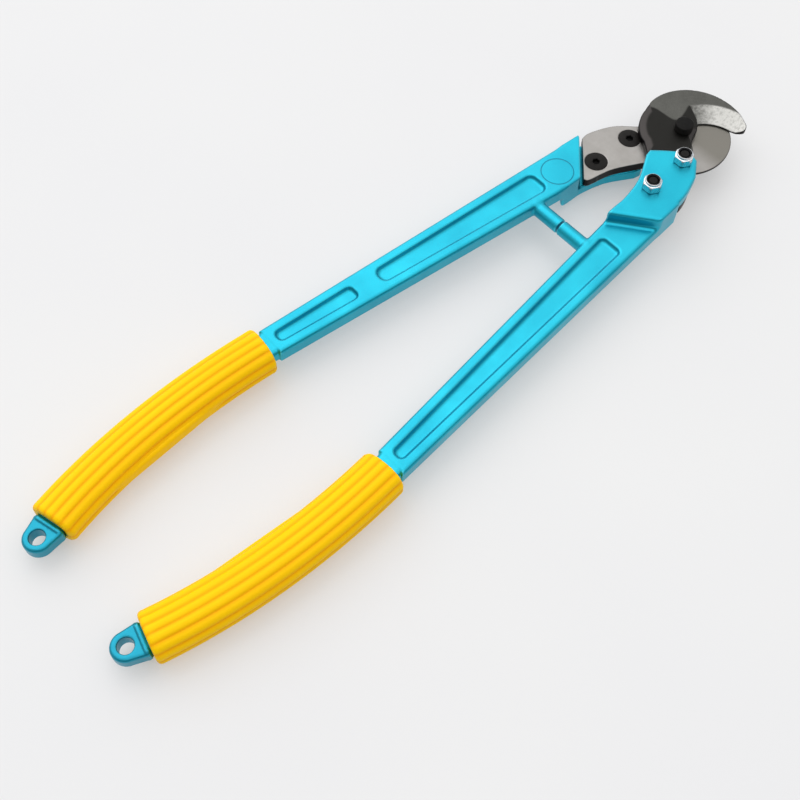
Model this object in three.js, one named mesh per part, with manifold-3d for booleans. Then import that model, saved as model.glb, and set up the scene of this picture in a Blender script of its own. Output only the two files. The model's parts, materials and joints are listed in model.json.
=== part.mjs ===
// Two-lever cable cutter with bolted blades, closed. Millimetres, +Z up.
//
// The two levers are the same casting: the right one is the left one turned half a turn about
// the tool's long axis. Every half is therefore drawn once, in the left half's place: handle on
// the +Y side, blade just under the middle plane, nuts underneath. +X runs from the pivot to the
// jaws. The pivot axis is x = 0, y = 0 and the blades slide on each other at z = 0.
import * as THREE from 'three';
import { mergeVertices } from 'three/addons/utils/BufferGeometryUtils.js';
import Module from 'manifold-3d';

const wasm = await Module();
wasm.setup();

// ---- driving dimensions -------------------------------------------------------------------
const clearance = 0.3;             // gap kept between neighbouring pieces
const bladeThickness = 7.0;
const tongueThickness = 8.85;
const bodyThickness = 13.0;
const handleReach = 550;           // pivot to the hanging eye, along X
const eyeOffset = 46.3;            // eye to the middle of the tool, along Y
const eyeRadius = 5.25;
const eyeRim = 9.9;                // outer radius of the eye's ring
const eyeThickness = 11.0;
const collarDistance = 10.2;       // eye centre to the middle of the tail collar
const collarLength = 3.0;
const collarWidth = 23;
const collarHeight = 13;
const gripLength = 181;
const gripWidth = 34.6;
const gripHeight = 29;
const coreWidth = 21;
const coreHeight = 12;
const gripTailGap = 1.0;           // between the tail collar and the grip's end
const neckLength = 4.5;            // bare neck between the body's shoulder and the grip
const bowShortening = 1.6;         // how much shorter the bowed grip is along X than along itself
const shoulderY = 61.2;            // centre line of the handle at the shoulder
const shoulderWidth = 23.8;
const headOuter = [-62.2, 49.4];   // the body's front corner on its outer side
const cutOffset = 111.6;           // the body ends on the line y - x = cutOffset
const innerBend = [-112, 19.9];    // where the inner side levels off before the head
const headInnerY = 19.4;
const edgeRound = 2.4;
const pocketDepth = 3.2;
const pocketCorner = 8.0;
const pocketRim = 7.2;             // material left beside the pockets
const pocketTailGap = 5.8;         // between the shoulder and the pockets
const rearPocketLength = 65.5;
const pocketBridge = 19.5;         // left standing between the two pockets of the blade side
const bladePocketHead = -116.5;
const nutPocketHead = -119.5;
const pegX = -132.3;
const pegRadius = 5.7;
const pegGap = 1.4;                // between the two closed pegs
const pegChamfer = 0.6;
const pegLength = 26;              // from its end face to its root inside the body
const tabCorner = 4;               // rounding of the tail collar's section
const coreCorner = 5;
const rootOverlap = 12;            // length of the core's root that joins it to the body

const jawRadius = 37.7;            // back of the round jaw, about the pivot
const hookBackRadius = 33.3;       // the hook's back grows from this radius to the next
const hookTipRadius = 48.0;
const mouthRadius = 28.9;          // cutting edge of the hook
const mouthCentre = [1.1, 26.3];
const anvilRadius = 28.4;          // cutting edge of the round jaw
const anvilCentre = [32.8, 22.8];
const bevelWidth = 13.6;           // the ground bevels, seen from above
const bladeLand = 0.8;             // edge thickness left under the bevels

const screwSites = [[-31.6, 24.3], [-67.5, 25.6]];
const screwRadius = 3.9;
const screwHeadRadius = 8.7;
const socketFlats = 5.0;
const socketDepth = 3.0;
const nutFlats = 13.0;
const nutHeight = 8.0;
const nutHexHeight = 6.2;
const insertWall = 0.7;
const nutCollarWall = 0.7;         // outside the insert's seat
const nutCornerTrim = 0.75;        // corners stand this far past the flats
const screwTailGap = 0.6;          // the screw ends this far inside its nut
const insertLength = 2.2;

const pivotShankRadius = 4.0;
const bushWall = 1.1;
const pivotHeadRadius = 6.9;
const pivotHeadHeight = 5.9;
const washerRadius = 8.5;
const washerThickness = 1.6;

const roundSegments = 24;

// ---- levels, from the middle plane down ------------------------------------------------------
const bladeTop = -clearance / 2;
const bladeBottom = bladeTop - bladeThickness;
const tongueTop = bladeBottom - clearance;
const tongueBottom = tongueTop - tongueThickness;
const nutTop = tongueBottom - clearance;
const nutBottom = nutTop - nutHeight;
const bodyHalf = bodyThickness / 2;

// ---- helpers ----------------------------------------------------------------------------------
const rad = THREE.MathUtils.degToRad;

function polar(radius, degrees, centre = [0, 0]) {
  return [centre[0] + radius * Math.cos(rad(degrees)), centre[1] + radius * Math.sin(rad(degrees))];
}

function arc(radius, from, to, steps, centre = [0, 0]) {
  return Array.from({ length: steps + 1 }, (_, i) => polar(radius, from + ((to - from) * i) / steps, centre));
}

function spiral(r0, r1, from, to, steps) {
  return Array.from({ length: steps + 1 }, (_, i) => {
    const t = i / steps;
    return polar(r0 + (r1 - r0) * t, from + (to - from) * t);
  });
}

function smooth(points, perSpan) {
  const curve = new THREE.SplineCurve(points.map(([x, y]) => new THREE.Vector2(x, y)));
  return curve.getPoints(perSpan * (points.length - 1)).map((p) => [p.x, p.y]);
}

function outline(points) {
  return new THREE.Shape(points.map(([x, y]) => new THREE.Vector2(x, y)));
}

// A polygon whose corners are rounded with tangent curves, as far as its shorter sides allow.
function roundedOutline(corners, radius) {
  const shape = new THREE.Shape();
  corners.forEach(([x, y], i) => {
    const here = new THREE.Vector2(x, y);
    const before = new THREE.Vector2(...corners[(i + corners.length - 1) % corners.length]);
    const after = new THREE.Vector2(...corners[(i + 1) % corners.length]);
    const most = 0.48 * Math.min(here.distanceTo(before), here.distanceTo(after));
    const reach = Math.min(radius, most);
    const inward = here.clone().add(before.sub(here).setLength(reach));
    const outward = here.clone().add(after.sub(here).setLength(reach));
    if (i === 0) shape.moveTo(inward.x, inward.y);
    else shape.lineTo(inward.x, inward.y);
    shape.quadraticCurveTo(x, y, outward.x, outward.y);
  });
  shape.closePath();
  return shape;
}

function plate(shape, bottom, top, round = 0, curveSegments = 5) {
  const geometry = new THREE.ExtrudeGeometry(shape, {
    depth: top - bottom - 2 * round,
    bevelEnabled: round > 0,
    bevelThickness: round,
    bevelSize: round,
    bevelOffset: -round,
    bevelSegments: 2,
    curveSegments,
  });
  return geometry.translate(0, 0, bottom + round);
}

function rod(radius, bottom, top, x = 0, y = 0, topRadius = radius) {
  const geometry = new THREE.CylinderGeometry(topRadius, radius, top - bottom, roundSegments);
  return geometry.rotateX(Math.PI / 2).translate(x, y, (top + bottom) / 2);
}

function hexPrism(flats, bottom, top, x = 0, y = 0) {
  const geometry = new THREE.CylinderGeometry(flats / Math.sqrt(3), flats / Math.sqrt(3), top - bottom, 6);
  return geometry.rotateX(Math.PI / 2).translate(x, y, (top + bottom) / 2);
}

function solid(geometry) {
  const bare = geometry.index ? geometry.toNonIndexed() : geometry.clone();
  bare.deleteAttribute('normal');
  bare.deleteAttribute('uv');
  const merged = mergeVertices(bare, 1e-4);
  return new wasm.Manifold(new wasm.Mesh({
    numProp: 3,
    vertProperties: new Float32Array(merged.attributes.position.array),
    triVerts: new Uint32Array(merged.index.array),
  }));
}

function cut(base, ...tools) {
  return tools.reduce((left, tool) => left.subtract(solid(tool)), base);
}

function geometryOf(manifold) {
  const mesh = manifold.getMesh();
  const geometry = new THREE.BufferGeometry();
  geometry.setAttribute('position', new THREE.BufferAttribute(new Float32Array(mesh.vertProperties), 3));
  geometry.setIndex(new THREE.BufferAttribute(new Uint32Array(mesh.triVerts), 1));
  geometry.computeVertexNormals();
  return geometry;
}

// ---- handle -------------------------------------------------------------------------------------
const eye = new THREE.Vector2(-handleReach, eyeOffset);
const tailDirection = new THREE.Vector2(1, 0.27).normalize();
const collar = eye.clone().addScaledVector(tailDirection, collarDistance);
const gripTail = collar.clone().addScaledVector(tailDirection, collarLength / 2 + gripTailGap);
const shoulderX = gripTail.x + gripLength + neckLength - bowShortening;
const shoulder = new THREE.Vector2(shoulderX, shoulderY);
const headDirection = new THREE.Vector2(1, -0.104).normalize();

// Centre line of the bowed part, from the tail collar to the shoulder.
function gripLine() {
  const reach = shoulder.distanceTo(collar) / 3;
  const nearTail = collar.clone().addScaledVector(tailDirection, reach);
  const nearHead = shoulder.clone().addScaledVector(headDirection, -reach);
  const flat = [collar, nearTail, nearHead, shoulder].map((p) => new THREE.Vector3(p.x, p.y, 0));
  return new THREE.CubicBezierCurve3(...flat);
}

// Part of the centre line, between two distances from the collar.
function lineBetween(start, end) {
  const line = gripLine();
  const total = line.getLength();
  const stations = 12;
  const points = Array.from({ length: stations + 1 }, (_, i) => {
    const distance = start + ((end - start) * i) / stations;
    return line.getPointAt(THREE.MathUtils.clamp(distance / total, 0, 1));
  });
  return new THREE.CatmullRomCurve3(points);
}

function section(height, width, roundness, grow = 0) {
  const h = height / 2 + grow;
  const w = width / 2 + grow;
  return roundedOutline([[-h, -w], [h, -w], [h, w], [-h, w]], roundness);
}

const shoulderOuter = [shoulderX, shoulderY + shoulderWidth / 2];
const shoulderInner = [shoulderX, shoulderY - shoulderWidth / 2];

function bodyOutline() {
  const headInner = [headInnerY - cutOffset, headInnerY];
  return outline([headOuter, shoulderOuter, shoulderInner, innerBend, headInner]);
}

function yOnLine([x0, y0], [x1, y1], x) {
  return y0 + ((y1 - y0) * (x - x0)) / (x1 - x0);
}

function tongueOutline() {
  const inner = [[-109, 20], [-100, 19.7], [-88, 18.9], [-68, 14], [-47, 2.4]];
  const nose = [[-41.5, 1.2], [-30.5, 12], [-22.6, 22.5], [-23.2, 31]];
  const outer = [[-36, 40.9], [-56, 47.5], [-86, 50.4]];
  return outline([...smooth(inner, 3), ...smooth(nose, 4), ...smooth(outer, 4)]);
}

// The pockets follow the body's two long sides, a rim's width inside them.
function pockets() {
  const tailEnd = shoulderX + pocketTailGap;
  const rearHead = tailEnd + rearPocketLength;
  const spans = [
    { side: 1, head: bladePocketHead, tail: rearHead + pocketBridge },
    { side: 1, head: rearHead, tail: tailEnd },
    { side: -1, head: nutPocketHead, tail: tailEnd },
  ];
  return spans.map(({ side, head, tail }) => {
    const outer = (x) => yOnLine(headOuter, shoulderOuter, x) - pocketRim;
    const inner = (x) => yOnLine(innerBend, shoulderInner, x) + pocketRim;
    const corners = [[head, inner(head)], [head, outer(head)], [tail, outer(tail)], [tail, inner(tail)]];
    const floor = side > 0 ? bodyHalf - pocketDepth : -bodyHalf - 1;
    return plate(roundedOutline(corners, pocketCorner), floor, floor + pocketDepth + 1, 0, 3);
  });
}

function peg() {
  const profile = [[0, 0], [pegRadius, 0], [pegRadius, pegLength - pegChamfer]];
  profile.push([pegRadius - pegChamfer, pegLength], [0, pegLength]);
  const turned = new THREE.LatheGeometry(profile.map(([r, y]) => new THREE.Vector2(r, y)), roundSegments);
  return turned.rotateX(Math.PI).translate(pegX, pegGap / 2 + pegLength, 0);
}

function tailTab() {
  const shape = new THREE.Shape();
  shape.moveTo(collarDistance, collarWidth / 2);
  shape.lineTo(0, eyeRim);
  shape.absarc(0, 0, eyeRim, Math.PI / 2, 1.5 * Math.PI, false);
  shape.lineTo(collarDistance, -collarWidth / 2);
  shape.closePath();
  const hole = new THREE.Path();
  hole.absarc(0, 0, eyeRadius, 0, 2 * Math.PI, true);
  shape.holes.push(hole);
  const tab = plate(shape, -eyeThickness / 2, eyeThickness / 2, 0, 8);
  return tab.rotateZ(tailDirection.angle()).translate(eye.x, eye.y, 0);
}

function tailCollar() {
  const shape = roundedOutline([
    [-collarHeight / 2, -collarWidth / 2],
    [collarHeight / 2, -collarWidth / 2],
    [collarHeight / 2, collarWidth / 2],
    [-collarHeight / 2, collarWidth / 2],
  ], tabCorner);
  const ring = plate(shape, -collarLength / 2, collarLength / 2, 0, 3);
  ring.rotateY(Math.PI / 2);
  return ring.rotateZ(tailDirection.angle()).translate(collar.x, collar.y, 0);
}

function handleCore() {
  const path = lineBetween(0, gripLine().getLength());
  return new THREE.ExtrudeGeometry(section(coreHeight, coreWidth, coreCorner), {
    steps: 14,
    extrudePath: path,
    curveSegments: 2,
  });
}

// The core runs on a little way into the body, so that the two join in one casting.
function coreRoot() {
  const root = new THREE.BoxGeometry(rootOverlap, coreWidth - 2, coreHeight - 2);
  return root.translate(shoulderX + 2, shoulderY, 0);
}

// The space over the tongue, in front of the slanted cut, where the blade's tang lies.
function tangSpace() {
  const far = 200;
  const corners = [[-cutOffset - far, -far], [far, -far], [far, far], [far - cutOffset, far]];
  return plate(outline(corners), tongueTop, bodyHalf + 1);
}

function handleGeometry() {
  let casting = solid(plate(tongueOutline(), tongueBottom, bodyHalf - edgeRound));
  casting = casting.subtract(solid(tangSpace()));
  casting = casting.add(solid(plate(bodyOutline(), -bodyHalf, bodyHalf, edgeRound)));
  [peg, handleCore, coreRoot, tailCollar, tailTab].forEach((make) => {
    casting = casting.add(solid(make()));
  });
  const bore = screwRadius + clearance;
  const holes = screwSites.map(([x, y]) => rod(bore, tongueBottom - 1, tongueTop + 1, x, y));
  return geometryOf(cut(casting, ...pockets(), ...holes));
}

// ---- grip ---------------------------------------------------------------------------------------
function gripGeometry() {
  const start = collarLength / 2 + gripTailGap;
  const sleeve = new THREE.Shape();
  sleeve.absellipse(0, 0, gripHeight / 2, gripWidth / 2, 0, 2 * Math.PI, false, 0);
  const bore = section(coreHeight, coreWidth, coreCorner, clearance);
  sleeve.holes.push(new THREE.Path(bore.getPoints(2).reverse()));
  return new THREE.ExtrudeGeometry(sleeve, {
    steps: 14,
    extrudePath: lineBetween(start, start + gripLength),
    curveSegments: roundSegments / 2,
  });
}

// ---- blades -------------------------------------------------------------------------------------
// Both blades share the tang's corner and inner side, and the boss round the pivot. The round
// blade's tang stands a little proud of the tongue; the hook's lies flush with the tongue's edge.
function tangCorner() {
  return smooth([[-78, 15.2], [-85.6, 16.8], [-87.2, 20]], 3);
}

function tangBack(overTongue) {
  return smooth([...overTongue, [-4.1, 12.6], [8, 7.2], [14.8, 0.9]], 3);
}

function tangInner() {
  return smooth([[-30.5, -12], [-38.5, -2], [-49.7, 5], [-64, 12], [-76, 15]], 3);
}

function roundJaw() {
  const tang = tangBack([[-58.7, 48.5], [-50, 48.3], [-32.6, 41.2], [-19, 29.1]]);
  const edge = arc(anvilRadius, -129.4, -82, 9, anvilCentre).slice(1);
  const back = arc(jawRadius, -8, -128, 20);
  return [...tang, ...edge, ...back];
}

function hookJaw() {
  const tang = tangBack([[-59.2, 48], [-50.6, 46], [-34.4, 38.6], [-19.8, 28.2]]);
  const edge = arc(mouthRadius, -61, -6, 10, mouthCentre).slice(1);
  const tip = smooth([[31.2, 26.8], [34.4, 30], [37.2, 30.8], [40, 29.2], [42.2, 24.6]], 2);
  const back = spiral(hookTipRadius, hookBackRadius, 24, -100, 18);
  const heel = arc(hookBackRadius, -104, -152, 6);
  return [...tang, ...edge, ...tip, ...back, ...heel];
}

function bladeOutline(jaw) {
  return outline([...tangCorner(), ...jaw, ...tangInner()]);
}

// A ring sector with a sloping wall: it grinds the bevel that runs up from a cutting edge.
function bevelCutter(radius, centre, from, to) {
  const drop = bladeThickness - bladeLand;
  const slope = bevelWidth / drop;
  const over = 1;
  const profile = [
    [radius - 12, bladeBottom - over],
    [radius + bevelWidth + over * slope, bladeBottom - over],
    [radius, bladeTop - bladeLand],
    [radius - 12, bladeTop - bladeLand],
  ];
  profile.push(profile[0]);
  const points = profile.map(([r, z]) => new THREE.Vector2(r, z));
  const ring = new THREE.LatheGeometry(points, 96);
  ring.rotateX(Math.PI / 2);
  const reach = radius + bevelWidth + 20;
  const wedge = outline([[0, 0], ...arc(reach, from, to, 8)]);
  const limits = plate(wedge, bladeBottom - 2, bladeTop);
  return solid(ring).intersect(solid(limits)).translate([centre[0], centre[1], 0]);
}

function screwSeat(x, y) {
  const through = rod(screwRadius + clearance, bladeBottom - 1, bladeTop + 1, x, y);
  const rise = screwHeadRadius - screwRadius;
  const wide = screwHeadRadius + clearance;
  const cone = rod(screwRadius + clearance, bladeTop - rise, bladeTop, x, y, wide);
  const mouth = rod(wide, bladeTop, bladeTop + 1, x, y);
  return solid(through).add(solid(cone)).add(solid(mouth));
}

function bladeGeometry(jaw, bevel) {
  let blade = solid(plate(bladeOutline(jaw), bladeBottom, bladeTop));
  blade = blade.subtract(bevel);
  screwSites.forEach(([x, y]) => {
    blade = blade.subtract(screwSeat(x, y));
  });
  const bore = pivotShankRadius + clearance + bushWall + clearance;
  return geometryOf(cut(blade, rod(bore, bladeBottom - 1, bladeTop + 1)));
}

// ---- fasteners ----------------------------------------------------------------------------------
function screwGeometry() {
  const rise = screwHeadRadius - screwRadius;
  const end = nutBottom + screwTailGap;
  const profile = [[0, end], [screwRadius - 0.6, end], [screwRadius, end + 0.6]];
  profile.push([screwRadius, bladeTop - rise]);
  profile.push([screwHeadRadius, bladeTop - 0.2], [screwHeadRadius, bladeTop], [0, bladeTop]);
  const turned = new THREE.LatheGeometry(profile.map(([r, z]) => new THREE.Vector2(r, z)), roundSegments);
  turned.rotateX(Math.PI / 2);
  return geometryOf(cut(solid(turned), hexPrism(socketFlats, bladeTop - socketDepth, bladeTop + 1)));
}

// A hexagon nut with a round collar at its free end, where the insert ring is held.
function lockNut(top, bore) {
  const hex = top - nutHexHeight;
  const bottom = top - nutHeight;
  const seatRadius = bore + insertWall + clearance;
  const collarRadius = seatRadius + nutCollarWall;
  const trim = rod(nutFlats / 2 + nutCornerTrim, hex, top);
  const trimmed = solid(hexPrism(nutFlats, hex, top)).intersect(solid(trim));
  const nut = trimmed.add(solid(rod(collarRadius, bottom, hex + 1)));
  const seat = rod(seatRadius, bottom - 1, bottom + insertLength + clearance);
  return geometryOf(cut(nut, rod(bore, bottom - 1, top + 1), seat));
}

function insertGeometry(top, bore) {
  const bottom = top - nutHeight;
  return geometryOf(cut(
    solid(rod(bore + insertWall, bottom + 0.2, bottom + insertLength)),
    rod(bore, bottom - 1, bottom + insertLength + 1),
  ));
}

// ---- pivot --------------------------------------------------------------------------------------
const pivotHeadBottom = -bladeBottom + clearance;
const washerTop = bladeBottom - clearance;
const pivotNutTop = washerTop - washerThickness - clearance;

function pivotBoltGeometry() {
  const end = pivotNutTop - nutHeight - 0.4;
  const top = pivotHeadBottom + pivotHeadHeight;
  const profile = [
    [0, end], [pivotShankRadius - 0.6, end], [pivotShankRadius, end + 0.6],
    [pivotShankRadius, pivotHeadBottom], [pivotHeadRadius, pivotHeadBottom],
    [pivotHeadRadius, top - 0.8], [pivotHeadRadius - 0.8, top], [0, top],
  ];
  const turned = new THREE.LatheGeometry(profile.map(([r, z]) => new THREE.Vector2(r, z)), roundSegments);
  return turned.rotateX(Math.PI / 2);
}

function ringGeometry(inner, outer, bottom, top) {
  return geometryOf(cut(solid(rod(outer, bottom, top)), rod(inner, bottom - 1, top + 1)));
}

// ---- materials ----------------------------------------------------------------------------------
function finish(color, roughness, metalness) {
  return new THREE.MeshStandardMaterial({ color, roughness, metalness });
}

const looks = {
  handle: () => finish(0x16b4d8, 0.35, 0.6),
  grip: () => finish(0xf7c60a, 0.55, 0.0),
  roundBlade: () => finish(0xa8a49e, 0.4, 1.0),
  hookBlade: () => finish(0x5e5e59, 0.4, 1.0),
  blackSteel: () => finish(0x1e1c1b, 0.45, 0.6),
  zinc: () => finish(0xd8dadc, 0.25, 1.0),
  bronze: () => finish(0xb08d4f, 0.4, 1.0),
  nylon: () => finish(0x151515, 0.6, 0.0),
};

function piece(name, geometry, material, x = 0, y = 0) {
  const mesh = new THREE.Mesh(geometry, material);
  mesh.name = name;
  mesh.position.set(x, y, 0);
  return mesh;
}

// ---- assembly -----------------------------------------------------------------------------------
function half(side, bladeName, jaw, bevel, bladeLook) {
  const parts = new THREE.Group();
  parts.add(piece(`handle_${side}`, handleGeometry(), looks.handle()));
  parts.add(piece(`grip_${side}`, gripGeometry(), looks.grip()));
  parts.add(piece(bladeName, bladeGeometry(jaw, bevel), bladeLook));
  const bore = screwRadius + clearance;
  screwSites.forEach(([x, y], i) => {
    const tag = `${side}_${i === 0 ? 'front' : 'rear'}`;
    parts.add(piece(`blade_screw_${tag}`, screwGeometry(), looks.blackSteel(), x, y));
    parts.add(piece(`lock_nut_${tag}`, lockNut(nutTop, bore), looks.zinc(), x, y));
    parts.add(piece(`nut_insert_${tag}`, insertGeometry(nutTop, bore), looks.nylon(), x, y));
  });
  return parts;
}

function pivotSet() {
  const parts = new THREE.Group();
  const bore = pivotShankRadius + clearance;
  parts.add(piece('pivot_bolt', pivotBoltGeometry(), looks.blackSteel()));
  const bush = ringGeometry(bore, bore + bushWall, bladeBottom, -bladeBottom);
  parts.add(piece('pivot_bush', bush, looks.bronze()));
  const washer = ringGeometry(bore, washerRadius, washerTop - washerThickness, washerTop);
  parts.add(piece('pivot_washer', washer, looks.zinc()));
  parts.add(piece('pivot_nut', lockNut(pivotNutTop, bore), looks.blackSteel()));
  parts.add(piece('pivot_nut_insert', insertGeometry(pivotNutTop, bore), looks.nylon()));
  return parts;
}

const leftBevel = bevelCutter(anvilRadius, anvilCentre, -141.6, -60);
const rightBevel = bevelCutter(mouthRadius, mouthCentre, -61.4, 40);
const left = half('left', 'blade_round', roundJaw(), leftBevel, looks.roundBlade());
const right = half('right', 'blade_hook', hookJaw(), rightBevel, looks.hookBlade());
right.rotation.x = Math.PI;

const tool = new THREE.Group();
tool.add(left, right, pivotSet());
tool.updateMatrixWorld(true);

// The part's own origin is the middle of the underside of its bounding box.
const bounds = new THREE.Box3().setFromObject(tool, true);
const middle = bounds.getCenter(new THREE.Vector3());
tool.position.set(-middle.x, -middle.y, -bounds.min.z);

const group = new THREE.Group();
group.add(tool);

export default group;
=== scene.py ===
"""Two-lever cable cutter in studio light. Metres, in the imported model's frame."""
import itertools
import json
import math

import bpy
import numpy as np
from mathutils import Matrix, Vector


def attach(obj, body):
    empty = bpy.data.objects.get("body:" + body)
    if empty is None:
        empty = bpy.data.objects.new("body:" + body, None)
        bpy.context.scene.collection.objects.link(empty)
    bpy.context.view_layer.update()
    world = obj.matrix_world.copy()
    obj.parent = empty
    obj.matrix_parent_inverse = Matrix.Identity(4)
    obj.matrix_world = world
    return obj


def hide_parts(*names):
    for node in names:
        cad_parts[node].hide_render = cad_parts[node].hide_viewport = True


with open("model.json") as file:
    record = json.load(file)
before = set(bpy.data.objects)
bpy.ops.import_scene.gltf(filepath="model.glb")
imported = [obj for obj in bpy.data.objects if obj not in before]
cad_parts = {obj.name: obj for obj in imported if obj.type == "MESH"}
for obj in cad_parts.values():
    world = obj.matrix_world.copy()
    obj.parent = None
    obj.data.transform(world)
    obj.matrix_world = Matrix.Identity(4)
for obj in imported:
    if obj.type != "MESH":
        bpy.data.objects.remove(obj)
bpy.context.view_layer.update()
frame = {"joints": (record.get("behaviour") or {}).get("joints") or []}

MM = 0.001

# Each half is drawn in millimetres in the left half's place, as the CAD source draws it: the
# pivot axis is x = 0, y = 0, the handle is on the +Y side, and the blade lies just under z = 0.
# The right half is the same drawing turned half a turn about the X axis.
PIVOT = Vector(frame["joints"][0]["pos_m"])
PLACE = {
    "left": Matrix.Translation(PIVOT),
    "right": Matrix.Translation(PIVOT) @ Matrix.Rotation(math.pi, 4, "X"),
}
BODY = {"left": "left_lever", "right": "right_lever"}

# ---- sizes in millimetres: the CAD source's, and the finer ones that only the visual has ----------
CLEARANCE = 0.3

# Levels below the plane where the two blades slide on each other.
BLADE_THICKNESS = 7.0
TONGUE_THICKNESS = 8.85
NUT_HEIGHT = 8.0
BLADE_TOP = -CLEARANCE / 2
BLADE_BOTTOM = BLADE_TOP - BLADE_THICKNESS
TONGUE_TOP = BLADE_BOTTOM - CLEARANCE
TONGUE_BOTTOM = TONGUE_TOP - TONGUE_THICKNESS
NUT_TOP = TONGUE_BOTTOM - CLEARANCE
NUT_BOTTOM = NUT_TOP - NUT_HEIGHT

# The handle's tail: hanging eye and tab, collar, grip, and the core inside the grip.
EYE = np.array([-550.0, 46.3])
EYE_RADIUS = 5.25
EYE_RIM = 9.9
TAB_HALF = 5.5
COLLAR_DISTANCE = 10.2
COLLAR_LENGTH = 3.0
COLLAR_HALF = (11.5, 6.5)
GRIP_GAP = 1.0
GRIP_LENGTH = 181.0
GRIP_HALF = (17.3, 14.5)
CORE_HALF = (10.5, 6.0)
CORE_ROUND = 4.0
NECK_LENGTH = 4.5
BOW_SHORTENING = 1.6
TAIL_DIRECTION = np.array([1.0, 0.27]) / math.hypot(1.0, 0.27)

# The handle's body. It ends on the line y - x = CUT_OFFSET, a narrow slot behind the tang.
BODY_HALF = 6.5
SHOULDER_Y = 61.2
SHOULDER_WIDTH = 23.8
HEAD_DIRECTION = np.array([1.0, -0.104]) / math.hypot(1.0, 0.104)
HEAD_OUTER = (-62.2, 49.4)
INNER_BEND = (-112.0, 19.9)
CUT_OFFSET = 111.6
STEP_LINE = ((-109.0, 20.0), (-86.0, 50.4))

# Each pocket's side, 1 for the blade side and -1 for the nut side, and its head and tail ends.
POCKETS = ((1, -116.5, -263.0), (1, -282.5, -348.0), (-1, -119.5, -348.0))
POCKET_DEPTH = 3.2
POCKET_DRAFT = 1.2
POCKET_CORNER = 8.0
POCKET_RIM = 7.2

# The stop peg, and the engraved ring on the blade side.
PEG_X = -132.3
PEG_RADIUS = 5.7
PEG_START = 0.7
PEG_END = 26.7
MARK_CENTRE = (-100.9, 34.8)
MARK_RADIUS = 12.1

# Screws, lock nuts with their locking rings, and the pivot.
SCREWS = ((-31.6, 24.3), (-67.5, 25.6))
SCREW_RADIUS = 3.9
SCREW_HEAD = 8.7
SOCKET_FLATS = 5.0
SOCKET_DEPTH = 3.0
THREAD_PITCH = 1.25
THREAD_DEPTH = 0.45
NUT_FLATS = 13.0
NUT_HEX_HEIGHT = 6.2
INSERT_RADIUS = 4.9
INSERT_SPAN = (0.2, 2.2)
INSERT_SEAT = 2.5
PIVOT_SHANK = 4.0
PIVOT_HEAD_RADIUS = 6.9
PIVOT_HEAD_HEIGHT = 5.9
BUSH_WALL = 1.1
WASHER_RADIUS = 8.5
WASHER_THICKNESS = 1.6

# The blades. ANVIL and MOUTH are the arcs of the two cutting edges: centre and radius.
BLADE_BORE = PIVOT_SHANK + CLEARANCE + BUSH_WALL + CLEARANCE
BEVEL_WIDTH = 13.6
BLADE_LAND = 0.8
JAW_RADIUS = 37.7
ANVIL = ((32.8, 22.8), 28.4)
MOUTH = ((1.1, 26.3), 28.9)
HOOK_BACK = 33.3
HOOK_TIP = 48.0


# ---- plane curves ------------------------------------------------------------------------------
def polar(radius, degrees, centre=(0.0, 0.0)):
    turn = math.radians(degrees)
    return (centre[0] + radius * math.cos(turn), centre[1] + radius * math.sin(turn))


def arc(radius, start, end, steps, centre=(0.0, 0.0)):
    return [polar(radius, a, centre) for a in np.linspace(start, end, steps + 1)]


def spiral(r0, r1, start, end, steps):
    return [polar(r, a) for r, a in zip(np.linspace(r0, r1, steps + 1), np.linspace(start, end, steps + 1))]


def smooth(points, per_span):
    """Catmull-Rom curve through the points."""
    p = np.array(points, float)
    p = np.vstack([2 * p[0] - p[1], p, 2 * p[-1] - p[-2]])
    curve = []
    for i in range(len(points) - 1):
        a, b, c, d = p[i:i + 4]
        for t in np.arange(per_span) / per_span:
            cubic = (-a + 3 * b - 3 * c + d) * t ** 3 + (2 * a - 5 * b + 4 * c - d) * t ** 2
            curve.append(tuple(0.5 * (cubic + (c - a) * t + 2 * b)))
    return curve + [tuple(points[-1])]


def on_line(start, end, x):
    return start[1] + (end[1] - start[1]) * (x - start[0]) / (end[0] - start[0])


def inset(corners, distance):
    """A convex outline moved inwards by a distance."""
    p = np.array(corners, float)
    middle = p.mean(0)
    lines = []
    for a, b in zip(p, np.roll(p, -1, 0)):
        normal = np.array([a[1] - b[1], b[0] - a[0]]) / np.hypot(*(b - a))
        if normal @ (middle - a) < 0:
            normal = -normal
        lines.append((normal, normal @ a + distance))
    moved = []
    for (n0, c0), (n1, c1) in zip(lines, lines[1:] + lines[:1]):
        moved.append(tuple(np.linalg.solve(np.array([n0, n1]), np.array([c0, c1]))))
    return moved


def bow_line(count):
    """The handle's bowed centre line from the tail collar to the shoulder, evenly spaced."""
    collar = EYE + TAIL_DIRECTION * COLLAR_DISTANCE
    tail = collar + TAIL_DIRECTION * (COLLAR_LENGTH / 2 + GRIP_GAP)
    shoulder = np.array([tail[0] + GRIP_LENGTH + NECK_LENGTH - BOW_SHORTENING, SHOULDER_Y])
    reach = np.hypot(*(shoulder - collar)) / 3
    a, b, c, d = collar, collar + TAIL_DIRECTION * reach, shoulder - HEAD_DIRECTION * reach, shoulder
    t = np.linspace(0, 1, 400)[:, None]
    curve = (1 - t) ** 3 * a + 3 * (1 - t) ** 2 * t * b + 3 * (1 - t) * t ** 2 * c + t ** 3 * d
    length = np.concatenate([[0], np.cumsum(np.hypot(*np.diff(curve, axis=0).T))])
    even = np.linspace(0, length[-1], count)
    spaced = np.stack([np.interp(even, length, curve[:, i]) for i in (0, 1)], 1)
    return spaced, length[-1]


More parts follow.
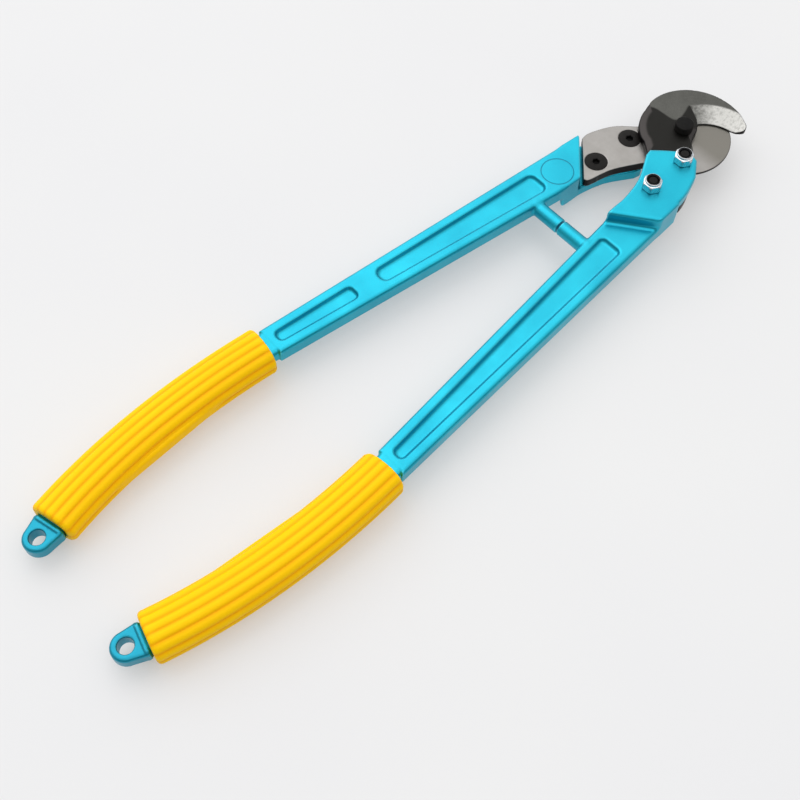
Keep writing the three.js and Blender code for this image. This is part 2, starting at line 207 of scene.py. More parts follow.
# ---- distance fields: negative inside ----------------------------------------------------------
def line_distance(x, y, points):
    best = np.inf
    for (x0, y0), (x1, y1) in zip(points[:-1], points[1:]):
        ex, ey = x1 - x0, y1 - y0
        along = np.clip(((x - x0) * ex + (y - y0) * ey) / (ex * ex + ey * ey), 0, 1)
        best = np.minimum(best, np.hypot(x - x0 - along * ex, y - y0 - along * ey))
    return best


def outline_distance(x, y, corners):
    closed = list(corners) + [corners[0]]
    inside = np.zeros(np.broadcast(x, y).shape, bool)
    for (x0, y0), (x1, y1) in zip(closed[:-1], closed[1:]):
        lean = (x1 - x0) / (y1 - y0) if y1 != y0 else 0.0
        inside ^= ((y0 > y) != (y1 > y)) & (x < x0 + (y - y0) * lean)
    reach = line_distance(x, y, closed)
    return np.where(inside, -reach, reach)


def both(a, b, radius):
    """What two fields share, with the edge between them rounded."""
    beyond = np.hypot(np.maximum(a + radius, 0), np.maximum(b + radius, 0))
    return np.minimum(np.maximum(a, b), -radius) + beyond


def either(a, b, radius):
    """Two fields joined, with a fillet between them."""
    return -both(-a, -b, radius)


def slab(z, low, high):
    return np.maximum(low - z, z - high)


def surface(field, low, high, cell):
    """Mesh of a field's zero surface by surface nets: a point in each crossed cell, moved onto it."""
    axes = [np.arange(lo - c, hi + 2 * c, c) for lo, hi, c in zip(low, high, cell)]
    shape = tuple(len(a) for a in axes)
    grid = (axes[0][:, None, None], axes[1][None, :, None], axes[2][None, None, :])
    values = np.broadcast_to(field(*grid), shape)
    inside = values < 0
    cell_counts = [n - 1 for n in shape]
    filled = np.zeros(cell_counts, np.int8)
    for offsets in itertools.product((0, 1), repeat=3):
        filled += inside[tuple(slice(o, o + n) for o, n in zip(offsets, cell_counts))]
    crossed = (filled > 0) & (filled < 8)
    number = np.full(crossed.shape, -1)
    number[crossed] = np.arange(crossed.sum())
    cells = np.argwhere(crossed)

    total = np.zeros((len(cells), 3))
    hits = np.zeros(len(cells))
    for axis in range(3):
        others = [a for a in range(3) if a != axis]
        for offsets in itertools.product((0, 1), repeat=2):
            start = cells.copy()
            start[:, others] += offsets
            end = start.copy()
            end[:, axis] += 1
            a, b = values[tuple(start.T)], values[tuple(end.T)]
            cuts = (a < 0) != (b < 0)
            where = start.astype(float)
            where[:, axis] += np.where(cuts, a / np.where(cuts, a - b, 1), 0)
            total += where * cuts[:, None]
            hits += cuts
    origin = np.array([a[0] for a in axes])
    points = origin + total / hits[:, None] * np.array(cell)

    quads = []
    for axis in range(3):
        b, c = (axis + 1) % 3, (axis + 2) % 3
        near = inside[tuple(slice(0, -1) if a == axis else slice(None) for a in range(3))]
        far = inside[tuple(slice(1, None) if a == axis else slice(None) for a in range(3))]
        edges = np.argwhere(near != far)
        leaving = near[near != far]
        ring = []
        for db, dc in ((-1, -1), (0, -1), (0, 0), (-1, 0)):
            at = edges.copy()
            at[:, b] += db
            at[:, c] += dc
            ring.append(number[tuple(at.T)])
        quad = np.stack(ring, 1)
        quad[~leaving] = quad[~leaving][:, ::-1]
        quads.append(quad)

    step = 0.01
    most = 0.45 * min(cell)
    for _ in range(4):
        slope = np.empty_like(points)
        for axis in range(3):
            ahead, behind = points.copy(), points.copy()
            ahead[:, axis] += step
            behind[:, axis] -= step
            slope[:, axis] = (field(*ahead.T) - field(*behind.T)) / (2 * step)
        steep = np.maximum((slope ** 2).sum(1), 0.05)
        move = -(field(*points.T) / steep)[:, None] * slope
        points += np.clip(move, -most, most)
    return points, np.concatenate(quads)


# ---- pieces ------------------------------------------------------------------------------------
def add_object(name, data):
    made = bpy.data.objects.new(name, data)
    bpy.context.scene.collection.objects.link(made)
    return made


def piece(name, points, faces, side, node, material, masks=None):
    """A finished piece that stands for one CAD node. Points are millimetres in the half's drawing."""
    mesh = bpy.data.meshes.new(name)
    faces = faces.tolist() if isinstance(faces, np.ndarray) else faces
    mesh.from_pydata((points * MM).tolist(), [], faces)
    mesh.validate()
    for mask, values in (masks or {}).items():
        layer = mesh.attributes.new(mask, "FLOAT", "POINT")
        layer.data.foreach_set("value", np.asarray(values, np.float32))
    mesh.shade_smooth()
    mesh.materials.append(material)
    made = add_object(name, mesh)
    made.matrix_world = PLACE[side]
    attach(made, BODY[side])
    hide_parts(node)
    return made


# ---- handle ------------------------------------------------------------------------------------
BOW, BOW_LENGTH = bow_line(25)
SHOULDER = BOW[-1]
COLLAR = BOW[0]
SHOULDER_OUTER = (SHOULDER[0], SHOULDER_Y + SHOULDER_WIDTH / 2)
SHOULDER_INNER = (SHOULDER[0], SHOULDER_Y - SHOULDER_WIDTH / 2)


def body_outline():
    """The body's outline, run on past the slanted cut that ends it."""
    beyond = -40.0
    outer = (beyond, on_line(SHOULDER_OUTER, HEAD_OUTER, beyond))
    return [outer, SHOULDER_OUTER, SHOULDER_INNER, INNER_BEND, (beyond, INNER_BEND[1] - 2.0)]


def tongue_outline():
    inner = [(-116, 20.6), (-109, 20), (-100, 19.7), (-88, 18.9), (-68, 14), (-47, 2.4)]
    nose = [(-41.5, 1.2), (-30.5, 12), (-22.6, 22.5), (-23.2, 31)]
    outer = [(-36, 40.9), (-56, 47.5), (-86, 50.4), (-100, 51.8)]
    return smooth(inner, 3) + smooth(nose, 5) + smooth(outer, 4)


def pocket_outline(head, tail):
    def outer(x):
        return on_line(HEAD_OUTER, SHOULDER_OUTER, x) - POCKET_RIM

    def inner(x):
        return on_line(INNER_BEND, SHOULDER_INNER, x) + POCKET_RIM

    corners = [(head, inner(head)), (head, outer(head)), (tail, outer(tail)), (tail, inner(tail))]
    narrow = (outer(tail) - inner(tail)) / 2
    reach = min(POCKET_CORNER, 0.9 * narrow)
    return inset(corners, reach), reach


BODY_OUTLINE = body_outline()
TONGUE_OUTLINE = tongue_outline()
POCKET_OUTLINES = [(side, *pocket_outline(head, tail)) for side, head, tail in POCKETS]
TAB_OUTLINE = arc(EYE_RIM, 90, 270, 16) + [(COLLAR_DISTANCE, end * COLLAR_HALF[0]) for end in (-1, 1)]


def step_profile(x, y, z):
    """Thickness of the casting: the body, the raised tongue behind its step, and room for the tang."""
    (x0, y0), (x1, y1) = STEP_LINE
    length = math.hypot(x1 - x0, y1 - y0)
    behind = ((y - y0) * (x1 - x0) - (x - x0) * (y1 - y0)) / length
    past_cut = (CUT_OFFSET - (y - x)) / math.sqrt(2)
    tongue = both(slab(z, TONGUE_BOTTOM, 0.0), behind, 2.8)
    thickness = either(slab(z, -BODY_HALF, BODY_HALF), tongue, 3.0)
    open_space = either(past_cut, z - TONGUE_TOP, 0.8)
    return both(thickness, open_space, 0.5), behind, past_cut


def tail_field(x, y, z):
    u = (x - EYE[0]) * TAIL_DIRECTION[0] + (y - EYE[1]) * TAIL_DIRECTION[1]
    v = (y - EYE[1]) * TAIL_DIRECTION[0] - (x - EYE[0]) * TAIL_DIRECTION[1]
    tab = both(outline_distance(u, v, TAB_OUTLINE), slab(z, -TAB_HALF, TAB_HALF), 2.2)
    section = both(np.abs(v) - COLLAR_HALF[0], np.abs(z) - COLLAR_HALF[1], 4.0)
    collar = both(section, np.abs(u - COLLAR_DISTANCE) - COLLAR_LENGTH / 2, 0.6)
    return both(either(tab, collar, 0.6), EYE_RADIUS - np.hypot(u, v), 0.8)


def handle_field(x, y, z):
    profile, behind, past_cut = step_profile(x, y, z)
    body = np.maximum(outline_distance(x, y, BODY_OUTLINE), past_cut)
    plan = np.minimum(body, outline_distance(x, y, TONGUE_OUTLINE))
    shape = both(plan, profile, np.interp(behind, [-5, 1], [1.3, 2.7]))

    along_tail = (x - COLLAR[0]) * TAIL_DIRECTION[0] + (y - COLLAR[1]) * TAIL_DIRECTION[1]
    core = both(line_distance(x, y, BOW) - CORE_HALF[0], np.abs(z) - CORE_HALF[1], CORE_ROUND)
    shape = either(shape, np.maximum(core, -along_tail), 1.0)
    shape = either(shape, tail_field(x, y, z), 0.4)

    peg = both(np.hypot(x - PEG_X, z) - PEG_RADIUS, slab(y, PEG_START, PEG_END), 0.7)
    shape = either(shape, peg, 1.6)

    for side, outline, corner in POCKET_OUTLINES:
        depth = BODY_HALF - side * z
        draft = POCKET_DRAFT * np.clip(depth / POCKET_DEPTH, -1, 1.2)
        wall = outline_distance(x, y, outline) - corner + draft
        shape = both(shape, -both(wall, depth - POCKET_DEPTH, 1.6), 1.0)
    for sx, sy in SCREWS:
        hole = np.maximum(np.hypot(x - sx, y - sy) - SCREW_RADIUS - CLEARANCE, z)
        shape = both(shape, -hole, 0.3)
    return shape


# ---- grip --------------------------------------------------------------------------------------
RIBS = 14
RIB_DEPTH = 1.0
END_ROUND = 3.2


def oval(cos, sin, half, fullness):
    """Radius of an oval of these half widths in each direction; fuller ones have squarer corners."""
    return (np.abs(cos / half[0]) ** fullness + np.abs(sin / half[1]) ** fullness) ** (-1 / fullness)


def grip_mesh():
    """A sleeve lofted along the bow: ribbed outside, rounded at both ends, hollow for the core."""
    columns = RIBS * 12
    turn = np.arange(columns) / columns * 2 * math.pi
    cos, sin = np.cos(turn), np.sin(turn)
    outer = oval(cos, sin, GRIP_HALF, 2.25)
    bore = oval(cos, sin, [half + CLEARANCE for half in CORE_HALF], 4)
    groove = 1 - np.abs(np.sin(turn * RIBS / 2)) ** 0.9
    start = COLLAR_LENGTH / 2 + GRIP_GAP
    length_at = np.linspace(0, BOW_LENGTH, len(BOW))

    def bow_at(distance):
        return np.array([np.interp(distance, length_at, BOW[:, i]) for i in (0, 1)])

    def ring(distance, radius):
        s = start + distance
        chord = bow_at(s + 2) - bow_at(s - 2)
        along = chord / np.hypot(*chord)
        across = np.array([-along[1], along[0]])
        plane = bow_at(s) + (radius * cos)[:, None] * across
        return np.column_stack([plane, radius * sin])

    rings, grooves = [], []
    middle = np.linspace(END_ROUND, GRIP_LENGTH - END_ROUND, 90)
    lead = END_ROUND * (1 - np.cos(np.linspace(0, math.pi / 2, 7)))[:-1]
    for distance in [*lead, *middle, *(GRIP_LENGTH - lead[::-1])]:
        edge = min(distance, GRIP_LENGTH - distance)
        pull = END_ROUND - math.sqrt(max(END_ROUND ** 2 - max(END_ROUND - edge, 0) ** 2, 0))
        depth = RIB_DEPTH * min(1.0, 0.3 + edge / 9)
        rings.append(ring(distance, outer - pull - depth * groove))
        grooves.append(groove)
    far_end = [(GRIP_LENGTH, 0.5), (GRIP_LENGTH, 0.04), (GRIP_LENGTH - 1, 0)]
    near_end = [(1, 0), (0, 0.04), (0, 0.5)]
    for distance, share in far_end + near_end:
        rings.append(ring(distance, bore + share * (outer - END_ROUND - bore)))
        grooves.append(np.zeros(columns))
    return closed_loft(rings), np.concatenate(grooves)


def closed_loft(rings):
    """Points and faces of rings joined in a closed loop, as round a tube and back through its bore."""
    rows, columns = len(rings), len(rings[0])
    faces = []
    for i in range(rows):
        below, above = i * columns, (i + 1) % rows * columns
        for j in range(columns):
            k = (j + 1) % columns
            faces.append((below + j, above + j, above + k, below + k))
    return np.concatenate(rings), faces


# ---- blades ------------------------------------------------------------------------------------
TANG_CORNER = [(-78, 15.2), (-85.4, 17.1), (-87.0, 20.2)]
ROUND_TANG = [(-58.7, 48.5), (-50, 48.3), (-32.6, 41.2), (-19, 29.1)]
HOOK_TANG = [(-59.2, 48), (-50.6, 46), (-34.4, 38.6), (-19.8, 28.2)]
BOSS = [(-4.1, 12.6), (8, 7.2), (14.8, 0.9)]
TANG_INNER = [(-30.5, -12), (-38.5, -2), (-49.7, 5), (-64, 12), (-76, 15)]


def blade_outline(tang_back, jaw):
    return smooth(TANG_CORNER, 4) + smooth(tang_back + BOSS, 6) + jaw + smooth(TANG_INNER, 5)


def round_jaw():
    centre, radius = ANVIL
    return arc(radius, -129.4, -82, 24, centre)[1:] + arc(JAW_RADIUS, -8, -128, 48)


def hook_jaw():
    centre, radius = MOUTH
    edge = arc(radius, -61, -6, 28, centre)[1:]
    tip = smooth([(31.2, 26.8), (34.4, 30), (37.2, 30.8), (40, 29.2), (42.2, 24.6)], 5)
    return edge + tip + spiral(HOOK_TIP, HOOK_BACK, 24, -100, 48) + arc(HOOK_BACK, -104, -152, 14)


def blade_field(outline, edge_arc, bevel_start, back_chamfer, chamfer_depth):
    """A blade's field and colour masks: a bevel ground from the outer face, and a chamfered back.

    The bevel follows the cutting edge's arc from its start angle on. The chamfer is given as
    widths at angles round the pivot."""
    bevel_centre, bevel_radius = edge_arc
    chamfer_angles, chamfer_widths = zip(*back_chamfer)
    run = BEVEL_WIDTH / (BLADE_BOTTOM - BLADE_TOP + BLADE_LAND)
    edge_level = BLADE_TOP - BLADE_LAND
    facing = 1 / math.hypot(1, run)
    begin = math.radians(bevel_start)

    def bevel(x, y, z):
        dx, dy = x - bevel_centre[0], y - bevel_centre[1]
        cone = (np.hypot(dx, dy) - bevel_radius - (z - edge_level) * run) * facing
        return np.maximum(cone, dx * math.sin(begin) - dy * math.cos(begin))

    def chamfer(x, y, z, plan):
        width = np.interp(np.degrees(np.arctan2(y, x)), chamfer_angles, chamfer_widths)
        lean = width / chamfer_depth
        return (plan + width - (z - BLADE_BOTTOM) * lean) / np.hypot(1, lean)

    def field(x, y, z):
        plan = outline_distance(x, y, outline)
        shape = both(plan, slab(z, BLADE_BOTTOM, BLADE_TOP), 0.35)
        shape = both(shape, chamfer(x, y, z, plan), 0.3)
        shape = both(shape, -bevel(x, y, z), 0.2)
        shape = both(shape, BLADE_BORE - np.hypot(x, y), 0.3)
        for sx, sy in SCREWS:
            r = np.hypot(x - sx, y - sy)
            seat = (r - (SCREW_HEAD + CLEARANCE) + (BLADE_TOP - z)) / math.sqrt(2)
            shape = np.maximum(shape, -np.minimum(seat, r - SCREW_RADIUS - CLEARANCE))
        return shape

    def masks(points):
        x, y, z = points.T
        plan = outline_distance(x, y, outline)
        ground = np.exp(-(bevel(x, y, z) / 0.35) ** 2)
        rim = np.exp(-(chamfer(x, y, z, plan) / 0.3) ** 2) * (z < BLADE_BOTTOM + chamfer_depth)
        turn = np.degrees(np.arctan2(y - bevel_centre[1], x - bevel_centre[0]))
        fresh = np.clip((turn - bevel_start) / 40, 0, 1)
        below_face = np.minimum(BLADE_TOP - z, z - BLADE_BOTTOM)
        side = np.clip(0.5 + (below_face + plan) / 0.8, 0, 1) * np.clip(1.5 + plan / 0.5, 0, 1)
        return {"ground": ground, "rim": rim, "fresh": fresh, "side": side}

    return field, masks


# ---- turned pieces -----------------------------------------------------------------------------
SPOKES = 72


def circle(radius):
    return np.full(SPOKES, float(radius))


def hexagon(flats, most=None):
    turn = np.arange(SPOKES) / SPOKES * 2 * math.pi
    radius = flats / 2 / np.cos((turn + math.pi / 6) % (math.pi / 3) - math.pi / 6)
    return radius if most is None else np.minimum(radius, most)


def turned(stations, closed):
    """Points and faces of rings at (level, radii); a closed one is a ring, an open one is capped."""
    turn = np.arange(SPOKES) / SPOKES * 2 * math.pi
    rings = [np.column_stack([r * np.cos(turn), r * np.sin(turn), circle(z)]) for z, r in stations]
    if closed:
        points, faces = closed_loft(rings)
        return points, [face[::-1] for face in faces]
    points = np.concatenate(rings)
    faces = []
    for i in range(len(rings) - 1):
        a, b = i * SPOKES, (i + 1) * SPOKES
        faces += [(a + j, a + (j + 1) % SPOKES, b + (j + 1) % SPOKES, b + j) for j in range(SPOKES)]
    last = (len(rings) - 1) * SPOKES
    faces.append(tuple(range(SPOKES))[::-1])
    faces.append(tuple(range(last, last + SPOKES)))
    return points, faces


def screw_stations():
    end = NUT_BOTTOM + 0.6
    neck = BLADE_TOP - (SCREW_HEAD - SCREW_RADIUS)
    socket = hexagon(SOCKET_FLATS)
    socket_end = BLADE_TOP - SOCKET_DEPTH
    thread = []
    for z in np.arange(end + 1.0, NUT_TOP + 9.0, THREAD_PITCH):
        thread.append((z, circle(SCREW_RADIUS - THREAD_DEPTH)))
        thread.append((z + THREAD_PITCH / 2, circle(SCREW_RADIUS)))
    return [
        (end, circle(SCREW_RADIUS - 1.0)), (end + 0.6, circle(SCREW_RADIUS - 0.4)), *thread,
        (neck, circle(SCREW_RADIUS)), (BLADE_TOP - 0.45, circle(SCREW_HEAD - 0.1)),
        (BLADE_TOP - 0.2, circle(SCREW_HEAD)), (BLADE_TOP, circle(SCREW_HEAD - 0.3)),
        (BLADE_TOP, socket + 0.5), (BLADE_TOP - 0.35, socket), (socket_end, socket),
        (socket_end - 0.6, circle(0.4)),
    ]


def nut_stations(top, bore):
    """A hexagon lock nut with chamfered corners and a rounded collar at its lower, free end."""
    corner = NUT_FLATS / math.sqrt(3)
    hex_end = top - NUT_HEX_HEIGHT
    bottom = top - NUT_HEIGHT
    seat = INSERT_RADIUS + CLEARANCE
    upper_corners = [(0.15, 6.7), (0.4, 7.1), (0.7, corner)]
    lower_corners = [(0.9, corner), (0.45, 7.0), (0.15, 6.6)]
    collar = [(0.9, 5.9), (0.4, 5.8), (0.1, 5.55), (0, 5.3)]
    return [
        (top, circle(bore)), (top, circle(6.35)),
        *((top - down, hexagon(NUT_FLATS, most)) for down, most in upper_corners),
        *((hex_end + up, hexagon(NUT_FLATS, most)) for up, most in lower_corners),
        (hex_end, circle(6.2)), (hex_end - 0.1, circle(5.9)),
        *((bottom + up, circle(radius)) for up, radius in collar),
        (bottom + 0.1, circle(seat)), (bottom + INSERT_SEAT, circle(seat)),
        (bottom + INSERT_SEAT, circle(bore)),
    ]


def ring_stations(inner, outer, low, high, edge):
    return [
        (high - edge, circle(inner)), (high, circle(inner + edge)), (high, circle(outer - edge)),
        (high - edge, circle(outer)), (low + edge, circle(outer)), (low, circle(outer - edge)),
        (low, circle(inner + edge)), (low + edge, circle(inner)),
    ]


def insert_stations(nut_bottom, inner):
    """The locking ring held in a nut's collar."""
    low, high = INSERT_SPAN
    return ring_stations(inner, INSERT_RADIUS, nut_bottom + low, nut_bottom + high, 0.25)


def pivot_bolt_stations(end, head_bottom):
    head = PIVOT_HEAD_RADIUS
    head_top = head_bottom + PIVOT_HEAD_HEIGHT
    return [
        (end, circle(PIVOT_SHANK - 1.0)), (end + 0.8, circle(PIVOT_SHANK)),
        (head_bottom, circle(PIVOT_SHANK)), (head_bottom, circle(head - 0.3)),
        (head_bottom + 0.3, circle(head)), (head_top - 0.9, circle(head)),
        (head_top - 0.35, circle(head - 0.2)), (head_top - 0.1, circle(head - 0.5)),
        (head_top, circle(head - 1.0)),
    ]


# ---- materials ---------------------------------------------------------------------------------
def linear(r, g, b):
    """An sRGB colour, 0 to 255, as the linear value a shader takes."""
    def channel(c):
        return ((c / 255 + 0.055) / 1.055) ** 2.4 if c > 10 else c / 255 / 12.92

    return (channel(r), channel(g), channel(b), 1.0)


class Shader:
    """A small builder for one node material."""

    def __init__(self, name):
        self.material = bpy.data.materials.new(name)
        self.material.use_nodes = True
        self.tree = self.material.node_tree
        self.surface = self.tree.nodes["Principled BSDF"]
        self.where = self.node("ShaderNodeTexCoord", {}).outputs["Object"]

    def node(self, kind, inputs, **settings):
        made = self.tree.nodes.new(kind)
        for key, value in settings.items():
            setattr(made, key, value)
        for key, value in inputs.items():
            self.feed(made.inputs[key], value)
        return made

    def feed(self, socket, value):
        if isinstance(value, bpy.types.NodeSocket):
            self.tree.links.new(value, socket)
        else:
            socket.default_value = value

    def noise(self, scale, detail=3.0, rough=0.5, stretch=(1, 1, 1)):
        placed = self.node("ShaderNodeMapping", {"Vector": self.where, "Scale": stretch})
        inputs = {"Vector": placed.outputs[0], "Scale": scale, "Detail": detail, "Roughness": rough}
        return self.node("ShaderNodeTexNoise", inputs).outputs["Fac"]

    def ramp(self, value, low, high, start=0.0, end=1.0):
        inputs = {"Value": value, 1: low, 2: high, 3: start, 4: end}
        return self.node("ShaderNodeMapRange", inputs).outputs[0]

    def math(self, operation, a, b=0.0):
        return self.node("ShaderNodeMath", {0: a, 1: b}, operation=operation).outputs[0]

    def mix(self, factor, a, b):
        # A mix node has its two colours at inputs 6 and 7 and the mixed colour at output 2.
        return self.node("ShaderNodeMix", {0: factor, 6: a, 7: b}, data_type="RGBA").outputs[2]

    def tint(self, base, other, mask, most):
        """The base colour, turned towards another where the mask is on, by no more than this share."""
        return self.mix(self.math("MULTIPLY", mask, most), base, other)

    def mask(self, name):
        return self.node("ShaderNodeAttribute", {}, attribute_name=name).outputs["Fac"]

    # Lighter or darker by pointiness: real edge wear on the black oxide, painted highlight on edges and
    # painted shade in creases on the coat and the zinc.
    def edge_wear_and_painted_light(self, low, high):
        pointed = self.node("ShaderNodeNewGeometry", {}).outputs["Pointiness"]
        return self.ramp(pointed, low, high)

    def bump(self, height, distance, strength=1.0, below=None):
        inputs = {"Height": height, "Distance": distance, "Strength": strength}
        if below is not None:
            inputs["Normal"] = below
        return self.node("ShaderNodeBump", inputs).outputs[0]

    def finish(self, **sockets):
        for key, value in sockets.items():
            self.feed(self.surface.inputs[key.replace("_", " ")], value)
        return self.material


def coated_casting():
    """Satin cyan metallic coat over a light-alloy casting, with an engraved ring on the blade side, painted
    highlights on its edges and painted shade in its creases and in the slot behind the tang.
    """
    s = Shader("cyan_coat")
    broad = s.ramp(s.noise(28, 2), 0.3, 0.7)
    colour = s.mix(broad, linear(22, 161, 186), linear(30, 176, 199))
    flakes = s.ramp(s.noise(1500, 2), 0.45, 0.75)
    colour = s.tint(colour, linear(60, 205, 226), flakes, 0.08)
    # Painted highlight: the coat's edges lighter cyan, where the light catches them.
    colour = s.tint(colour, linear(118, 236, 248), s.edge_wear_and_painted_light(0.525, 0.59), 0.65)
    # Painted shade: creases and concave corners of the coat darker.
    colour = s.tint(colour, linear(0, 78, 114), s.edge_wear_and_painted_light(0.47, 0.40), 0.75)
    # Painted shadow in the narrow slot between the slanted cut and the tang.
    colour = s.tint(colour, linear(0, 40, 62), s.mask("painted_slot_shade"), 0.9)
    placed = s.node("ShaderNodeSeparateXYZ", {"Vector": s.where})
    tail = s.ramp(placed.outputs["X"], -0.525, -0.54)
    colour = s.tint(colour, linear(24, 104, 132), tail, 0.45)
    flat = s.node("ShaderNodeCombineXYZ", {"X": placed.outputs["X"], "Y": placed.outputs["Y"]})
    centre = (MARK_CENTRE[0] * MM, MARK_CENTRE[1] * MM, 0)
    reach = s.node("ShaderNodeVectorMath", {0: flat.outputs[0], 1: centre}, operation="DISTANCE")
    off_line = s.math("ABSOLUTE", s.math("SUBTRACT", reach.outputs["Value"], MARK_RADIUS * MM))
    blade_side = s.ramp(placed.outputs["Z"], 0.006, 0.0063)
    groove = s.math("MULTIPLY", s.ramp(off_line, 0.0006, 0.0002), blade_side)
    colour = s.tint(colour, linear(0, 84, 112), groove, 0.65)
    skin = s.bump(s.noise(500, 2, 0.5), 0.00006, 0.3)
    engraved = s.bump(s.math("MULTIPLY", groove, -1.0), 0.0003, 0.6, skin)
    rough = s.ramp(s.noise(120, 2), 0.3, 0.7, 0.33, 0.4)
    return s.finish(Base_Color=colour, Metallic=0.9, Roughness=rough, Normal=engraved,
                    Coat_Weight=0.15, Coat_Roughness=0.15)


def ribbed_rubber():
    """Yellow sleeve: painted shade turns it deeper orange in the grooves; fine moulded grain, light scuffs.
    """
    s = Shader("yellow_sleeve")
    groove = s.mask("groove")
    # Painted shade: the grooves between the ribs darker orange.
    colour = s.mix(s.ramp(groove, 0.15, 0.9), linear(255, 205, 0), linear(246, 172, 0))
    patch = s.ramp(s.noise(18, 3), 0.35, 0.7)
    colour = s.tint(colour, linear(252, 190, 0), patch, 0.3)
    scuff = s.ramp(s.noise(90, 4, 0.7, (1, 4, 4)), 0.64, 0.8)
    colour = s.tint(colour, linear(255, 214, 10), scuff, 0.18)
    cells = s.node("ShaderNodeTexVoronoi", {"Vector": s.where, "Scale": 1100}).outputs["Distance"]
    grain = s.bump(cells, 0.00008, 0.5)
    uneven = s.bump(s.noise(120, 3), 0.0004, 0.35, grain)
    rough = s.ramp(s.noise(220, 3), 0.3, 0.7, 0.42, 0.56)
    return s.finish(Base_Color=colour, Roughness=rough, Normal=uneven, Specular_IOR_Level=0.1)


def ground_steel(name, face, dark, bright, rim, rough_range, dark_zone):
    """Tool steel: a brushed face, a bevel ground bright towards its tip, and near-black side walls."""
    s = Shader(name)
    streaks = s.noise(420, 3, 0.6, (1, 14, 1))
    mottled = s.ramp(s.noise(70, 4, 0.6), 0.3, 0.7)
    colour = s.mix(mottled, face, dark)
    colour = s.tint(colour, bright, s.ramp(streaks, 0.35, 0.7), 0.08)
    colour = s.tint(colour, dark_zone, s.mask("zone"), 0.93)
    colour = s.mix(s.mask("rim"), colour, rim)
    fresh = s.ramp(s.math("ADD", s.mask("fresh"), s.noise(300, 5, 0.7)), 0.45, 1.2)
    spots = s.ramp(s.noise(420, 6, 0.75), 0.48, 0.62)
    ground = s.tint(s.mix(fresh, face, bright), face, spots, 0.4)
    colour = s.mix(s.mask("ground"), colour, ground)
    colour = s.mix(s.mask("side"), colour, linear(15, 13, 15))
    rough = s.ramp(s.noise(300, 3, 0.6, (1, 10, 1)), 0.3, 0.7, *rough_range)
    grain = s.bump(s.noise(1300, 3, 0.6, (1, 16, 1)), 0.00005, 0.5)
    lumps = s.bump(s.noise(60, 2), 0.0003, 0.25, grain)
    return s.finish(Base_Color=colour, Metallic=0.85, Roughness=rough, Normal=lumps)


def black_oxide():
    s = Shader("black_oxide")
    colour = s.mix(s.ramp(s.noise(240, 4), 0.35, 0.7), linear(8, 8, 8), linear(18, 17, 16))
    colour = s.tint(colour, linear(62, 58, 55), s.edge_wear_and_painted_light(0.52, 0.6), 0.4)
    grain = s.bump(s.noise(1500, 3, 0.6), 0.00005, 0.6)
    rough = s.ramp(s.noise(400, 3), 0.3, 0.7, 0.42, 0.58)
    return s.finish(Base_Color=colour, Roughness=rough, Normal=grain, Specular_IOR_Level=0.1)


def bright_zinc():
    s = Shader("bright_zinc")
    tint = s.ramp(s.noise(160, 3), 0.35, 0.7)
    colour = s.mix(tint, linear(238, 239, 240), linear(220, 224, 229))
    # Painted shade: the nuts' creases and inner corners darker.
    colour = s.tint(colour, linear(90, 92, 96), s.edge_wear_and_painted_light(0.48, 0.4), 0.6)
    grain = s.bump(s.noise(1800, 3, 0.6), 0.00004, 0.6)
    rough = s.ramp(s.noise(500, 3), 0.3, 0.7, 0.16, 0.3)
    return s.finish(Base_Color=colour, Metallic=1.0, Roughness=rough, Normal=grain)


def bearing_bronze():
    s = Shader("bearing_bronze")
    colour = s.mix(s.ramp(s.noise(200, 3), 0.35, 0.7), linear(178, 138, 78), linear(150, 112, 60))
    turned_lines = s.bump(s.noise(1400, 2, 0.5, (1, 1, 8)), 0.00004, 0.5)
    rough = s.ramp(s.noise(300, 2), 0.3, 0.7, 0.3, 0.42)
    return s.finish(Base_Color=colour, Metallic=1.0, Roughness=rough, Normal=turned_lines)


def dark_nylon():
    s = Shader("dark_nylon")
    colour = s.mix(s.ramp(s.noise(300, 3), 0.35, 0.7), linear(20, 20, 22), linear(34, 34, 36))
    grain = s.bump(s.noise(1600, 3), 0.00006, 0.5)
    rough = s.ramp(s.noise(400, 2), 0.3, 0.7, 0.48, 0.6)
    return s.finish(Base_Color=colour, Roughness=rough, Normal=grain, Specular_IOR_Level=0.15)


COAT = coated_casting()
RUBBER = ribbed_rubber()
OXIDE = black_oxide()
ZINC = bright_zinc()
BRONZE = bearing_bronze()
NYLON = dark_nylon()
JAW_STEEL = ground_steel(
    "jaw_steel", face=linear(156, 153, 150), dark=linear(143, 140, 136), bright=linear(176, 173, 168),
    rim=linear(150, 147, 142), rough_range=(0.3, 0.42), dark_zone=linear(118, 115, 108))
HOOK_STEEL = ground_steel(
    "hook_steel", face=linear(82, 82, 78), dark=linear(70, 70, 66), bright=linear(190, 189, 185),
    rim=linear(62, 59, 58), rough_range=(0.34, 0.48), dark_zone=linear(22, 21, 19))


# ---- handles and grips -------------------------------------------------------------------------
HANDLE_LOW = (-561, 0.2, TONGUE_BOTTOM)
HANDLE_HIGH = (-21, 74, BODY_HALF)
HANDLE_CELL = (1.0, 0.75, 0.7)


def slot_shadow(points):
    """Mask of painted shadow in the narrow slot between the slanted cut and the tang."""
    _, _, past_cut = step_profile(*points.T)
    level = points[:, 2]
    near_cut = np.exp(-(past_cut / 2.4) ** 2) * np.clip(past_cut + 0.3, 0, 1)
    return near_cut * np.clip(-level / 2, 0, 1) * (level > TONGUE_TOP - 1)


handle_points, handle_quads = surface(handle_field, HANDLE_LOW, HANDLE_HIGH, HANDLE_CELL)
handle_masks = {"painted_slot_shade": slot_shadow(handle_points)}
(grip_points, grip_faces), grip_groove_shade = grip_mesh()
for side in PLACE:
    piece(f"handle_{side}_casting", handle_points, handle_quads, side, f"handle_{side}", COAT,
          handle_masks)
    piece(f"grip_{side}_sleeve", grip_points, grip_faces, side, f"grip_{side}", RUBBER,
          {"groove": grip_groove_shade})

